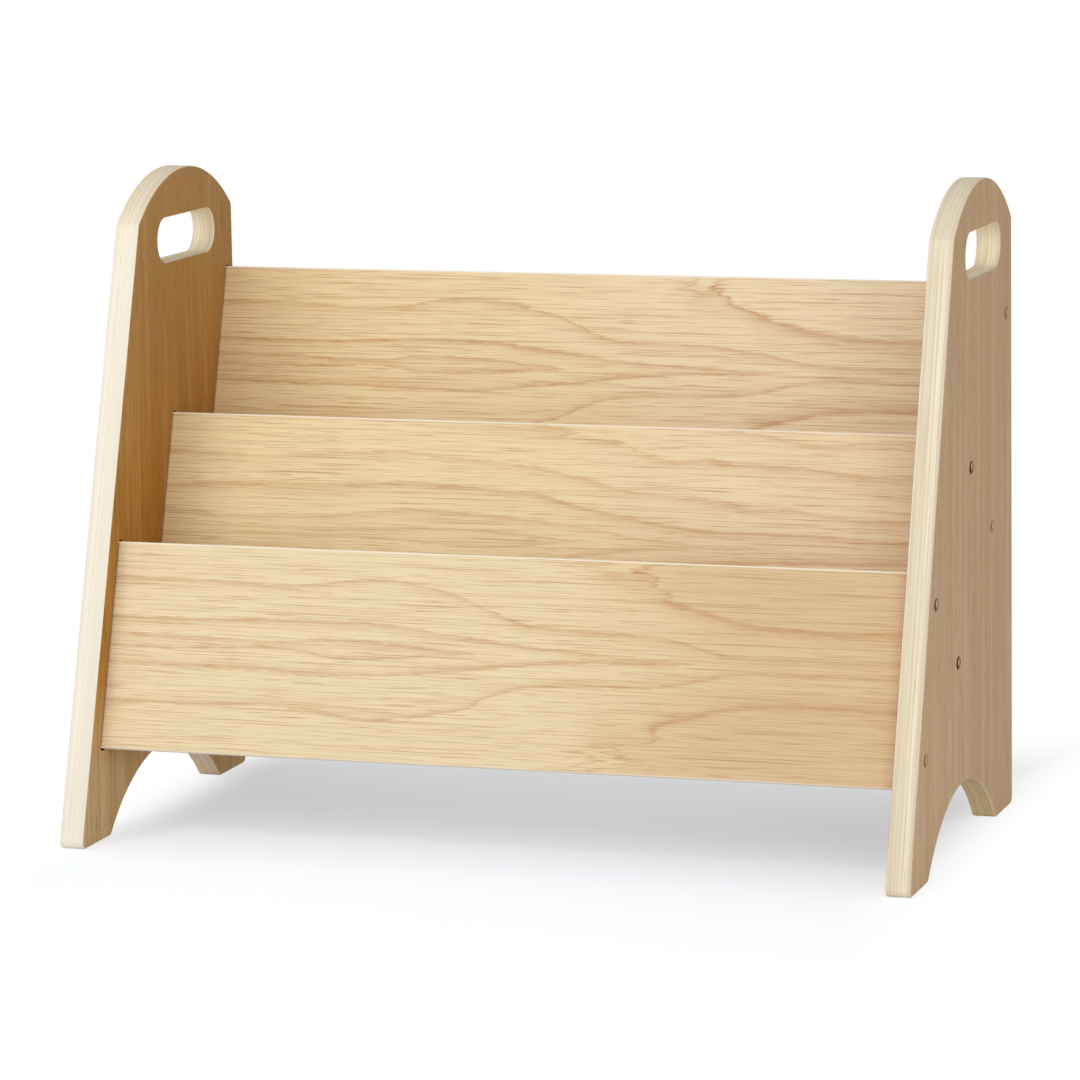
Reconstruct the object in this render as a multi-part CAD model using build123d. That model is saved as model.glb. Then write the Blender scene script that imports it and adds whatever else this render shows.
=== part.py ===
from build123d import *
import os
from collections import namedtuple
from math import cos, radians, sin, tan

# A book holder. Two plywood sides, each with a handle slot and an arched foot, carry three
# panels that lean back. A floor board closes the pocket behind the front and middle panels,
# and the books stand on it. The ends of every board sit in stopped grooves in the sides, two
# screws at each end hold each panel, and dowels join the floors to the panels.
#
# Lengths are in millimetres and angles in degrees. X is the width, Y goes from front to back
# and Z is up. The finished holder stands with its origin on the floor below its middle.

# Sides: depth and height to the sharp corners, before they are rounded
overall_width = 600
side_thickness = 17.3
side_depth = 318
side_height = 453.5
shoulder_height = 419.5
front_lean = 17.1
rear_lean = 1.1
foot_length = 53
arch_height = 46
shoulder_radius = 6
foot_corner_radius = 5
side_arris_radius = 1.5

# Handle slot, below the crown of each side
handle_length = 110.5
handle_height = 31.5
handle_below_crown = 33.5

# Panels, measured up the slope of the front edge and at right angles to it
panel_thickness = 9
panel_arris_radius = 0.8
front_panel_setback = 15.6
back_panel_setback = 6
front_panel_bottom = 73.2
front_panel_top = 217.7
middle_panel_top = 322.7
back_panel_top = 444.7

# Pocket floors
floor_thickness = 9
pocket_depth = 61

# Grooves in the sides, cut with a router bit of twice the corner radius
groove_depth = 6
groove_clearance = 0.5
groove_overrun = 1.5
groove_corner_radius = 3

# Countersunk screws through the sides into the panel ends
screw_length = 40
screw_head_radius = 4
screw_head_land = 0.2
screw_shank_radius = 2
screw_shank_length = 13
screw_core_radius = 1.3
screw_pitch = 1.8
screw_tip_length = 4
screw_from_panel_edge = 20.5
screw_sink = 0.5
screw_hole_clearance = 0.15
pilot_clearance = 0.05
pilot_extra_depth = 2

# Cross recess in each screw head
recess_span = 4.4
recess_wing = 0.9
recess_depth = 2.2
recess_floor_radius = 0.6

# Dowels between floors and panels
dowel_radius = 2.5
dowel_length = 20
dowel_in_panel = 6
dowel_chamfer = 0.5
dowel_clearance = 0.05
dowel_end_gap = 0.5
dowel_count = 3

# Every cut starts this far outside the wood
cut_overrun = 1

# A board lies square to the slope: its front and back are distances behind the sloping front
# edge of the sides, its bottom and top are distances up that slope.
Board = namedtuple("Board", "name front back bottom top")

lean_rise = tan(radians(front_lean))
rear_rise = tan(radians(rear_lean))
slope_cos = cos(radians(front_lean))
slope_sin = sin(radians(front_lean))
slant = Rot(-front_lean, 0, 0)

outer_face = overall_width / 2
inner_face = outer_face - side_thickness
groove_end = inner_face + groove_depth
front_shoulder = shoulder_height * lean_rise
rear_shoulder = side_depth - shoulder_height * rear_rise
crown = (front_shoulder + rear_shoulder) / 2


def panel_boards():
    """The three panels, evenly spaced between the front edge and the rear edge."""
    middle_bottom = front_panel_top - pocket_depth - floor_thickness
    back_bottom = middle_panel_top - pocket_depth - floor_thickness
    spans = [
        ("front_panel", front_panel_bottom, front_panel_top),
        ("middle_panel", middle_bottom, middle_panel_top),
        ("back_panel", back_bottom, back_panel_top),
    ]
    # The back panel's rear top corner stays back_panel_setback in front of the rear edge.
    reach = side_depth - back_panel_setback - back_panel_top * (slope_sin + rear_rise * slope_cos)
    last_front = reach / (slope_cos - rear_rise * slope_sin) - panel_thickness
    pitch = (last_front - front_panel_setback) / (len(spans) - 1)
    boards = []
    for place, (name, bottom, top) in enumerate(spans):
        front = front_panel_setback + place * pitch
        boards.append(Board(name, front, front + panel_thickness, bottom, top))
    return boards


def floor_boards(panels):
    """One floor between each pair of panels, flush with the bottom of the rear one."""
    boards = []
    for name, ahead, behind in zip(["front_floor", "rear_floor"], panels, panels[1:]):
        top = behind.bottom + floor_thickness
        boards.append(Board(name, ahead.back, behind.front, behind.bottom, top))
    return boards


def side_outline():
    """The side seen from its end, in the YZ plane, with its corners rounded."""
    toe = (0, 0)
    front_top = (front_shoulder, shoulder_height)
    top = (crown, side_height)
    rear_top = (rear_shoulder, shoulder_height)
    heel = (side_depth, 0)
    arch_back = (side_depth - foot_length, 0)
    arch_top = (side_depth / 2, arch_height)
    arch_front = (foot_length, 0)
    edges = [
        Line(toe, front_top),
        ThreePointArc(front_top, top, rear_top),
        Line(rear_top, heel),
        Line(heel, arch_back),
        ThreePointArc(arch_back, arch_top, arch_front),
        Line(arch_front, toe),
    ]
    face = make_face([Plane.YZ * edge for edge in edges]).face()
    shoulders = face.vertices().filter_by(lambda corner: corner.Z > arch_height)
    face = face.fillet_2d(shoulder_radius, shoulders)
    feet = face.vertices().filter_by(lambda corner: corner.Z < foot_corner_radius / 2)
    return face.fillet_2d(foot_corner_radius, feet)


def handle_slot():
    """The handle slot's outline in the YZ plane, centred below the crown."""
    middle = side_height - handle_below_crown - handle_height / 2
    return Plane.YZ * Pos(crown, middle) * SlotOverall(handle_length, handle_height)


def groove_cutter(board, outline):
    """A groove of this outline in the right side, centred on the end of a board."""
    middle = Pos((board.front + board.back) / 2, (board.bottom + board.top) / 2)
    cutter = extrude(Plane.YZ * middle * outline, groove_depth + cut_overrun)
    return slant * Pos(inner_face - cut_overrun, 0, 0) * cutter


def panel_groove(panel):
    """The stopped groove for a panel's end, a little longer and wider than the panel."""
    width = panel.back - panel.front + 2 * groove_clearance
    height = panel.top - panel.bottom + 2 * groove_overrun
    return groove_cutter(panel, RectangleRounded(width, height, groove_corner_radius))


def floor_groove(board):
    """The groove for a floor's end, which runs into the grooves of the panels beside it."""
    width = board.back - board.front
    height = board.top - board.bottom + 2 * groove_clearance
    return groove_cutter(board, Rectangle(width, height))


def screw_places(panel):
    """The middle of each screw in one panel end, as distances behind and up the slope."""
    middle = (panel.front + panel.back) / 2
    low = panel.bottom + screw_from_panel_edge
    high = panel.top - screw_from_panel_edge
    return {"bottom": (middle, low), "top": (middle, high)}


def along_x(shape):
    """Turn a shape that points up Z so that it points along X."""
    return Rot(0, 90, 0) * shape


def rod(start, end, radius):
    """A round rod along X from start to end."""
    bar = Cylinder(radius, end - start, align=(Align.CENTER, Align.CENTER, Align.MIN))
    return Pos(start, 0, 0) * along_x(bar)


def screw_hole_cutter():
    """The countersunk hole through the right side, on the screw's own axis."""
    hole = rod(inner_face - cut_overrun, outer_face, screw_shank_radius + screw_hole_clearance)
    mouth_radius = screw_head_radius + screw_sink + screw_head_land
    funnel = Cone(0, mouth_radius, mouth_radius, align=(Align.CENTER, Align.CENTER, Align.MAX))
    return hole + Pos(outer_face, 0, 0) * along_x(funnel)


def right_side(panels, floors):
    """The right side: rounded all round, then grooved inside and drilled for its screws."""
    outline = Pos(inner_face, 0, 0) * (side_outline() - handle_slot())
    blank = extrude(outline, side_thickness, dir=(1, 0, 0))
    faces = blank.faces().filter_by(Axis.X)
    blank = fillet(faces.edges(), side_arris_radius)
    for panel in panels:
        blank -= panel_groove(panel)
        for behind, up in screw_places(panel).values():
            blank -= slant * Pos(0, behind, up) * screw_hole_cutter()
    for board in floors:
        blank -= floor_groove(board)
    return blank.solid()


def board_blank(board):
    """A plain board that reaches the bottom of the groove in each side."""
    width = board.back - board.front
    height = board.top - board.bottom
    blank = Box(2 * groove_end, width, height, align=(Align.CENTER, Align.MIN, Align.MIN))
    return Pos(0, board.front, board.bottom) * blank


def dowel_places():
    """Where the dowels stand along the width, evenly spread between the sides."""
    step = 2 * inner_face / dowel_count
    return [step * (place + 1 / 2) - inner_face for place in range(dowel_count)]


def dowel_joints(board):
    """The floor's two joints: the panel face there, and the way from panel to floor."""
    middle = (board.bottom + board.top) / 2
    return [(board.front, 1, middle), (board.back, -1, middle)]


def along_y(start, length, radius, way):
    """A round rod along Y that starts at start and runs forwards or backwards."""
    bar = Cylinder(radius, length, align=(Align.CENTER, Align.CENTER, Align.MIN))
    return Pos(0, start, 0) * Rot(-90 * way, 0, 0) * bar


def dowel_hole_cutters(board):
    """Blind holes for all of a floor's dowels, half in the floor and half in the panels."""
    cutters = []
    length = dowel_length + 2 * dowel_end_gap
    for face, way, middle in dowel_joints(board):
        start = face - way * (dowel_in_panel + dowel_end_gap)
        for across in dowel_places():
            hole = along_y(start, length, dowel_radius + dowel_clearance, way)
            cutters.append(Pos(across, 0, middle) * hole)
    return cutters


def panel_solid(panel, floors):
    """One panel, with its long arrises eased, pilot holes in its ends and dowel holes."""
    blank = board_blank(panel)
    long_edges = blank.edges().filter_by(Axis.X)
    blank = fillet(long_edges, panel_arris_radius)
    tip = outer_face - screw_sink - screw_length - pilot_extra_depth
    pilot = rod(tip, groove_end + cut_overrun, screw_shank_radius + pilot_clearance)
    for behind, up in screw_places(panel).values():
        blank -= Pos(0, behind, up) * pilot
        blank -= Pos(0, behind, up) * mirror(pilot, about=Plane.YZ)
    for board in floors:
        if board.front == panel.back or board.back == panel.front:
            blank -= dowel_hole_cutters(board)
    return (slant * blank).solid()


def floor_solid(board):
    """One pocket floor, square-edged where it meets the panels, with its dowel holes."""
    blank = board_blank(board) - dowel_hole_cutters(board)
    return (slant * blank).solid()


def screw_solid():
    """One screw along X, its head at the origin and its tip towards -X."""
    cone_end = screw_head_land + screw_head_radius - screw_shank_radius
    outline = [(0, 0), (0, screw_head_radius), (-screw_head_land, screw_head_radius)]
    outline.append((-cone_end, screw_shank_radius))
    outline.append((-screw_shank_length, screw_shank_radius))
    turns = int((screw_length - screw_tip_length - screw_shank_length) / screw_pitch)
    for turn in range(turns):
        root = -screw_shank_length - turn * screw_pitch
        outline.append((root, screw_core_radius))
        outline.append((root - screw_pitch / 2, screw_shank_radius))
    outline.append((-screw_shank_length - turns * screw_pitch, screw_core_radius))
    outline.append((-(screw_length - screw_tip_length), screw_core_radius))
    outline.append((-screw_length, 0))
    body = revolve(make_face(Polyline(outline, close=True)), Axis.X)
    return (body - recess_cutter()).solid()


def recess_cutter():
    """The cross recess: two crossed wings that narrow towards the floor of the recess."""
    depth = recess_depth + cut_overrun
    wings = Box(depth, recess_wing, recess_span) + Box(depth, recess_span, recess_wing)
    widen = (recess_span / 2 - recess_floor_radius) / recess_depth
    mouth = recess_span / 2 + widen * cut_overrun
    taper = along_x(Cone(recess_floor_radius, mouth, depth))
    return Pos(cut_overrun - depth / 2, 0, 0) * (wings & taper)


def dowel_solid():
    """One dowel along Y with chamfered ends, from the origin towards +Y."""
    bar = along_y(0, dowel_length, dowel_radius, 1)
    return chamfer(bar.edges().filter_by(GeomType.CIRCLE), dowel_chamfer).solid()


def all_screws(panels):
    """Every screw by name, right and left."""
    screw = Pos(outer_face - screw_sink, 0, 0) * screw_solid()
    screws = {}
    for panel in panels:
        for level, (behind, up) in screw_places(panel).items():
            right = slant * Pos(0, behind, up) * screw
            screws[f"{panel.name}_screw_right_{level}"] = right
            screws[f"{panel.name}_screw_left_{level}"] = mirror(right, about=Plane.YZ)
    return screws


def all_dowels(floors):
    """Every dowel by name, counted from the left along each edge of each floor."""
    dowels = {}
    for board in floors:
        for edge, (face, way, middle) in zip(["front", "rear"], dowel_joints(board)):
            dowel = Rot(0, 0, 90 - 90 * way) * dowel_solid()
            for count, across in enumerate(dowel_places(), start=1):
                place = Pos(across, face - way * dowel_in_panel, middle)
                dowels[f"{board.name}_{edge}_dowel_{count}"] = slant * place * dowel
    return dowels


def build():
    """Every piece by name, with the holder's origin on the floor below its middle."""
    panels = panel_boards()
    floors = floor_boards(panels)
    side = right_side(panels, floors)
    pieces = {"right_side": side, "left_side": mirror(side, about=Plane.YZ)}
    for panel in panels:
        pieces[panel.name] = panel_solid(panel, floors)
    for board in floors:
        pieces[board.name] = floor_solid(board)
    pieces.update(all_screws(panels))
    pieces.update(all_dowels(floors))
    box = side.bounding_box()
    middle = (box.min.Y + box.max.Y) / 2
    return {name: Pos(0, -middle, 0) * piece for name, piece in pieces.items()}


os.makedirs("parts", exist_ok=True)
for name, piece in build().items():
    piece.label = name
    export_step(piece, f"parts/{name}.step")
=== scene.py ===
from collections import namedtuple
from math import pi, radians, sin

import bpy
from mathutils import Euler, Matrix, Vector


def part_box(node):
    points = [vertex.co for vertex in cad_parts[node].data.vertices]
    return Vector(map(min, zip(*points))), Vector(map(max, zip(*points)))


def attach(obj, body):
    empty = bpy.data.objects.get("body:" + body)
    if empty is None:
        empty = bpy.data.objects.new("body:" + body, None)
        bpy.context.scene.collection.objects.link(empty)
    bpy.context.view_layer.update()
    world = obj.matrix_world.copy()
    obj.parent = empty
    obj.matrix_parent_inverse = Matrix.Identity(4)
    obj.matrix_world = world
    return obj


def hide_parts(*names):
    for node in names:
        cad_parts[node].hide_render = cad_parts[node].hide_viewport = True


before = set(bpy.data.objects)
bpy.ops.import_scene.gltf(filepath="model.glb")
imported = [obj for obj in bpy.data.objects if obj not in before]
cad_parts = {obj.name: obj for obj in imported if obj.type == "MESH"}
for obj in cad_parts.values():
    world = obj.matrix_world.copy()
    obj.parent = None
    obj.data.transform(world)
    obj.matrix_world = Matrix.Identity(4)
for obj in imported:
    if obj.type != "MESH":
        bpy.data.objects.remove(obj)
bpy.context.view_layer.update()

# A book holder of birch plywood sides and oak-veneered boards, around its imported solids.
# The wood's patterns are in millimetres: a Mapping node turns the object's metres into them.
MM = 0.001
PER_METRE = 1000.0

# The boards lean back with the front edge of the sides
LEAN = radians(17.1)

SIDES = ("left_side", "right_side")
PANELS = ("front_panel", "middle_panel", "back_panel")
SCREWS = [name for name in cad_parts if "screw" in name]
DOWELS = [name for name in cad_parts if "dowel" in name]


def linear(hex_colour):
    """An sRGB hex colour as the linear RGBA that Blender's sockets take."""
    channels = [int(hex_colour[place:place + 2], 16) / 255 for place in (1, 3, 5)]
    linears = [c / 12.92 if c <= 0.04045 else ((c + 0.055) / 1.055) ** 2.4 for c in channels]
    return (*linears, 1.0)


def feed(tree, node, inputs):
    """Give a node its inputs: each is a value, or a node or one of its sockets to link from."""
    for key, value in inputs.items():
        if isinstance(value, bpy.types.Node):
            value = next(socket for socket in value.outputs if socket.enabled)
        if isinstance(value, bpy.types.NodeSocket):
            tree.links.new(value, node.inputs[key])
        else:
            node.inputs[key].default_value = value


def add_node(tree, kind, inputs=None, **settings):
    """One node with its settings and its inputs."""
    node = tree.nodes.new(kind)
    for name, value in settings.items():
        setattr(node, name, value)
    feed(tree, node, inputs or {})
    return node


def cleared_tree(owner):
    """The node tree of a new material or world, emptied."""
    owner.use_nodes = True
    owner.node_tree.nodes.clear()
    return owner.node_tree


def new_material(name):
    """An empty material with its node tree and the Principled shader at its output."""
    material = bpy.data.materials.new(name)
    tree = cleared_tree(material)
    shader = add_node(tree, "ShaderNodeBsdfPrincipled")
    add_node(tree, "ShaderNodeOutputMaterial", {"Surface": shader})
    return material, tree, shader


def set_stops(ramp_node, stops, interpolation="LINEAR"):
    """Give a Color Ramp its stops: (place, colour as hex or grey level)."""
    ramp = ramp_node.color_ramp
    ramp.interpolation = interpolation
    while len(ramp.elements) < len(stops):
        ramp.elements.new(1.0)
    for element, (place, colour) in zip(ramp.elements, stops):
        element.position = place
        element.color = linear(colour) if isinstance(colour, str) else (colour,) * 3 + (1.0,)
    return ramp_node


def add_object(name, data):
    """A new object in the scene, at the origin."""
    added = bpy.data.objects.new(name, data)
    bpy.context.scene.collection.objects.link(added)
    return added


# From the object's axes to the slope's: along the boards, back from the sides' front edge, and
# up it from the floor
slope = Matrix.Rotation(LEAN, 4, "X")
edge_back = min((slope @ v.co).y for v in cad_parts["right_side"].data.vertices)
toe_up = edge_back / slope[1][1] * sin(LEAN)
TO_SLOPE = (0.0, -edge_back * PER_METRE, -toe_up * PER_METRE)


def slope_span(node, axis):
    """Lowest and highest place of a CAD node along an axis of the slope, in millimetres."""
    across = "XYZ".index(axis)
    places = [(slope @ v.co)[across] * PER_METRE + TO_SLOPE[across]
              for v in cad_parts[node].data.vertices]
    return min(places), max(places)


def slope_places(tree):
    """Object coordinates in millimetres, turned with the slope: along, behind and up it."""
    coords = add_node(tree, "ShaderNodeTexCoord")
    return add_node(tree, "ShaderNodeMapping", {
        "Vector": coords.outputs["Object"], "Scale": (PER_METRE,) * 3,
        "Rotation": (LEAN, 0.0, 0.0), "Location": TO_SLOPE}, vector_type="POINT")


# Noise seldom leaves this middle stretch of its range
NOISE_LOW = 0.3
NOISE_HIGH = 0.7


# A noise stretched along the wood: how many of its grains there are to a millimetre on each
# axis, so that 0.01 is a 100 mm grain, and its detail and roughness
Grain = namedtuple("Grain", "per_mm detail roughness", defaults=(2.0, 0.5))


def grain_noise(tree, places, grain):
    """The noise of a grain at these places."""
    stretched = add_node(tree, "ShaderNodeMapping", {"Vector": places, "Scale": grain.per_mm})
    return add_node(tree, "ShaderNodeTexNoise", {
        "Vector": stretched, "Scale": 1.0, "Detail": grain.detail,
        "Roughness": grain.roughness})


# Flat-sawn oak shows nested growth rings about the middle line of the log. A ring is given by
# its points: how far along the board, and how far above and below the middle line it runs,
# both in millimetres. A height under zero means that the ring has closed in a point before it.
# Its width is a share of LATE_WOOD, and tone is how much darker the wood outside of it is.
Ring = namedtuple("Ring", "strength tone width points")

LOG_HEART = [
    Ring(0.47, 0.0, 0.85, [(-288, 5), (-200, 3), (-160, 1.7), (-120, 6), (-75, 4.5), (-43, 2),
                          (-20, 0), (0, -5), (288, -5)]),
    Ring(0.51, 0.02, 0.96, [(-288, 16), (-200, 16.3), (-120, 18), (-75, 17), (-43, 13.5),
                            (-2, 9), (40, 4.5), (92, 1.5), (128, 0), (160, -5), (288, -5)]),
    Ring(0.42, 0.03, 0.96, [(-288, 43.5), (-200, 42.5), (-158, 41), (-137, 43), (-100, 48),
                            (-75, 47), (-33, 40), (-14, 33), (4, 25), (20, 20.5), (50, 18.5),
                            (96, 17.5), (123, 15), (144, 10.5), (168, 6), (200, 5),
                            (288, 5.2)]),
    Ring(0.56, 0.1, 1.92, [(-288, 120), (66, 116), (82, 90), (92, 72), (98, 60), (108, 50),
                           (120, 42), (146, 34.5), (165, 30), (186, 27), (217, 25.5),
                           (288, 26.5)]),
    Ring(0.37, 0.0, 3.19, [(-288, 120), (40, 112), (56, 84), (68, 64), (82, 57), (96, 62),
                           (108, 84), (130, 116), (288, 120)]),
]

LOG_FLANK = [
    Ring(0.32, 0.0, 0.8, [(-288, 4.5), (-160, 2.5), (-110, 4), (-50, 5.5), (-33, 5), (19, 0),
                          (40, -5), (288, -5)]),
    Ring(0.29, 0.0, 0.91, [(-288, 12), (-179, 11), (-137, 15), (-106, 17), (-50, 16), (8, 12),
                           (40, 8.5), (71, 3.5), (110, 1), (150, 0), (170, -5), (288, -5)]),
    Ring(0.43, 0.02, 1.42, [(-288, 29), (-231, 32.5), (-158, 33.5), (-106, 38), (-60, 36),
                            (-33, 33.7), (-6, 31.5), (19, 26), (50, 20), (81, 15), (113, 11),
                            (154, 10), (288, 7)]),
    Ring(0.32, 0.04, 1.14, [(-288, 55.6), (-158, 55.2), (-137, 57.7), (-75, 57.8), (-33, 53.5),
                            (-2, 50), (29, 44), (61, 37), (102, 33), (134, 31), (150, 27),
                            (175, 27.5), (217, 22.5), (288, 24)]),
    Ring(0.43, 0.06, 1.48, [(-288, 90), (-60, 88), (-20, 81.6), (19, 76.5), (46, 69), (61, 62),
                            (81, 58), (102, 60), (134, 57.5), (186, 56), (210, 53.5),
                            (288, 50)]),
    Ring(0.32, 0.04, 1.14, [(-288, 92), (100, 90), (136, 80), (154, 78), (196, 72.5),
                            (238, 76), (288, 75)]),
]

# Half the length over which the rings are drawn, and the range of their heights
HALF_BOARD = 288.7
RING_LOWEST = -5.0
RING_HIGHEST = 120.0

# How far late wood shades inwards from a ring's edge, how soon it ends outside of it, and its
# shade in between
LATE_WOOD = (12.0, 4.0)
LATE_SHADE = [(0.0, 0.0), (0.35, 0.1), (0.53, 0.28), (0.65, 0.52), (0.72, 0.95), (0.77, 1.0),
              (0.81, 0.3), (0.87, 0.0)]
# The stretch about a ring's edge in which the wood takes the tone of what is outside
TONE_CHANGE = (-6.0, 2.0)


def growth_ring_group():
    """A node group: how much late wood one growth ring shows, and whether a point is past it."""
    group = bpy.data.node_groups.new("growth_ring", "ShaderNodeTree")
    for in_out, sockets in (("INPUT", ("Height", "Ring height", "Width")),
                            ("OUTPUT", ("Late wood", "Past it"))):
        for socket in sockets:
            group.interface.new_socket(socket, in_out=in_out, socket_type="NodeSocketFloat")
    given = add_node(group, "NodeGroupInput").outputs
    beyond = add_node(group, "ShaderNodeMath", {0: given["Height"], 1: given["Ring height"]},
                      operation="SUBTRACT")
    scaled = add_node(group, "ShaderNodeMath", {0: beyond, 1: given["Width"]},
                      operation="DIVIDE")
    place = add_node(group, "ShaderNodeMapRange", {
        "Value": scaled, "From Min": -LATE_WOOD[0], "From Max": LATE_WOOD[1]})
    late = set_stops(add_node(group, "ShaderNodeValToRGB", {"Fac": place}), LATE_SHADE, "EASE")
    past = add_node(group, "ShaderNodeMapRange", {
        "Value": beyond, "From Min": TONE_CHANGE[0], "From Max": TONE_CHANGE[1]},
        interpolation_type="SMOOTHSTEP")
    add_node(group, "NodeGroupOutput", {"Late wood": late, "Past it": past})
    return group


GROWTH_RING = growth_ring_group()


def draw_ring(curve_node, points):
    """Lay a ring's points on a Float Curve, both ways as shares of their ranges."""
    curve = curve_node.mapping.curves[0]
    curve_node.mapping.use_clip = False
    shares = [((along + HALF_BOARD) / (2 * HALF_BOARD),
               (height - RING_LOWEST) / (RING_HIGHEST - RING_LOWEST))
              for along, height in points]
    curve.points[0].location = shares[0]
    curve.points[1].location = shares[-1]
    for share in shares[1:-1]:
        curve.points.new(*share)
    curve_node.mapping.update()


# How far the rings waver up and down at most, and how far their ragged edges do besides
WAVER_GRAIN = Grain((0.012, 0.02, 0.03))
WAVER = 2.0
RAGGED_GRAIN = Grain((0.08, 0.85, 0.95), 4.0, 0.65)
RAGGED = 2.8
# Where rings cross the grain they have fingers along it. These grow from the short reach to the
# long one between these distances from the middle line.
FINGER_GRAIN = Grain((0.012, 0.11, 0.13), 4.0, 0.6)
FINGERS_GROW = (38.0, 64.0)
FINGER_REACH = (22.0, 140.0)


def board_grain(tree, places, across, along, middle_line):
    """Where a point lies in the log: its height off the middle line, and its share along."""
    waver = grain_noise(tree, places, WAVER_GRAIN)
    finger = grain_noise(tree, places, FINGER_GRAIN)
    ragged = grain_noise(tree, places, RAGGED_GRAIN)
    lift = add_node(tree, "ShaderNodeMapRange", {
        "Value": waver, "To Min": -WAVER, "To Max": WAVER}, clamp=False)
    fray = add_node(tree, "ShaderNodeMapRange", {
        "Value": ragged, "To Min": -RAGGED, "To Max": RAGGED}, clamp=False)
    from_line = add_node(tree, "ShaderNodeMath", {0: across, 1: middle_line},
                         operation="SUBTRACT")
    far_out = add_node(tree, "ShaderNodeMath", {0: from_line}, operation="ABSOLUTE")
    reach = add_node(tree, "ShaderNodeMapRange", {
        "Value": far_out, "From Min": FINGERS_GROW[0], "From Max": FINGERS_GROW[1],
        "To Min": FINGER_REACH[0], "To Max": FINGER_REACH[1]})
    centred = add_node(tree, "ShaderNodeMath", {0: finger, 1: 0.5}, operation="SUBTRACT")
    fingered = add_node(tree, "ShaderNodeMath", {0: centred, 1: reach, 2: along},
                        operation="MULTIPLY_ADD")
    wavered = add_node(tree, "ShaderNodeMath", {0: from_line, 1: lift}, operation="ADD")
    folded = add_node(tree, "ShaderNodeMath", {0: wavered}, operation="ABSOLUTE")
    height = add_node(tree, "ShaderNodeMath", {0: folded, 1: fray}, operation="ADD")
    share = add_node(tree, "ShaderNodeMapRange", {
        "Value": fingered, "From Min": -HALF_BOARD, "From Max": HALF_BOARD})
    return height, share


def growth_rings(tree, rings, height, share, tone):
    """All rings of a board: how much late wood they show, and the tone that they add up to."""
    late_wood = 0.0
    for ring in rings:
        line = add_node(tree, "ShaderNodeFloatCurve", {"Value": share})
        draw_ring(line, ring.points)
        ring_height = add_node(tree, "ShaderNodeMapRange", {
            "Value": line, "To Min": RING_LOWEST, "To Max": RING_HIGHEST})
        shown = add_node(tree, "ShaderNodeGroup", {
            "Height": height, "Ring height": ring_height, "Width": ring.width},
            node_tree=GROWTH_RING)
        late_wood = add_node(tree, "ShaderNodeMath", {
            0: shown.outputs["Late wood"], 1: ring.strength, 2: late_wood},
            operation="MULTIPLY_ADD")
        tone = add_node(tree, "ShaderNodeMath", {
            0: shown.outputs["Past it"], 1: ring.tone, 2: tone}, operation="MULTIPLY_ADD")
    return late_wood, tone


# Oak's long, fine and short pores: their grain, the threshold that sets how many there are, and
# their strength. Real ones are 0.3 mm wide, drawn 0.5 mm wide so that they show. Long and fine
# ones lie all over the leaf. Short ones crowd into the rings and make their edges ragged.
OAK_PORES = [(Grain((0.009, 2.1, 2.3), 1.0, 0.6), 0.575, 0.75),
             (Grain((0.03, 2.4, 2.6), 1.0, 0.6), 0.58, 0.8),
             (Grain((0.06, 2.0, 2.2), 1.0, 0.6), 0.5, 0.8)]
# Above its threshold a pore turns dark over this much more of its noise
PORE_SOFTNESS = 0.16


def oak_pores(tree, places):
    """The long, fine and short pores: dark lines where their noise rises above a threshold."""
    return [add_node(tree, "ShaderNodeMapRange", {
        "Value": grain_noise(tree, places, grain), "From Min": threshold,
        "From Max": threshold + PORE_SOFTNESS, "To Min": 0.0, "To Max": strength})
        for grain, threshold, strength in OAK_PORES]


# Where along a board its tone, and where its tint, goes from the left end's to the right end's.
# These shifts are partly the wood's own tone and partly painted light and shade along the board.
TONE_SHIFT = (0.0, 190.0)
TINT_SHIFT = (-280.0, 150.0)
# How much late wood comes and goes along a ring, and how much the streaks between rings show
PATCH_GRAIN = Grain((0.03, 0.2, 0.22), 3.0)
PATCHINESS = (0.65, 1.25)
STREAK_GRAIN = Grain((0.005, 0.9, 1.0), 2.0, 0.6)
STREAK = 0.02
EARLY_WOOD = [(0.0, "#F9E8C2"), (0.3, "#F0DAAF"), (1.0, "#D5AC80")]
BOARD_PLIES = [(0.0, "#E9D3A8"), (0.12, "#D8B98C"), (0.24, "#F1E0BC"), (0.38, "#D9BD92"),
               (0.5, "#EFDDB8"), (0.62, "#D5B688"), (0.76, "#F0DFBB"), (0.88, "#D8BA8D"),
               (1.0, "#E9D3A8")]

# Thickness of a board's veneer and of a side's, and how far down a board's top arris carries a
# pale painted highlight. Its lower arris carries a narrower one.
VENEER = 0.6
SIDE_VENEER = 0.35
ARRIS = 1.1
LOWER_ARRIS_LESS = 0.5

# Where the inner faces of the sides are, out from the middle, and the strip next to them in
# which painted shade darkens a board at the joint, and how much
INNER_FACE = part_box("right_side")[0].x * PER_METRE
JOINT_SHADE = (1.2, 0.4)
JOINT_SHADE_STRENGTH = 0.6

# The depth of open pores, in metres, the share of it that is left under the lacquer, how rough
# the matt lacquer is beside the pores and in them, and how much it mirrors
PORE_DEPTH = 0.1 * MM
OAK_RELIEF = 0.25
SIDE_RELIEF = 0.2
LACQUER_ROUGHNESS = 0.48
PORE_ROUGHNESS = 0.7
MATT_SHEEN = 0.2


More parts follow.
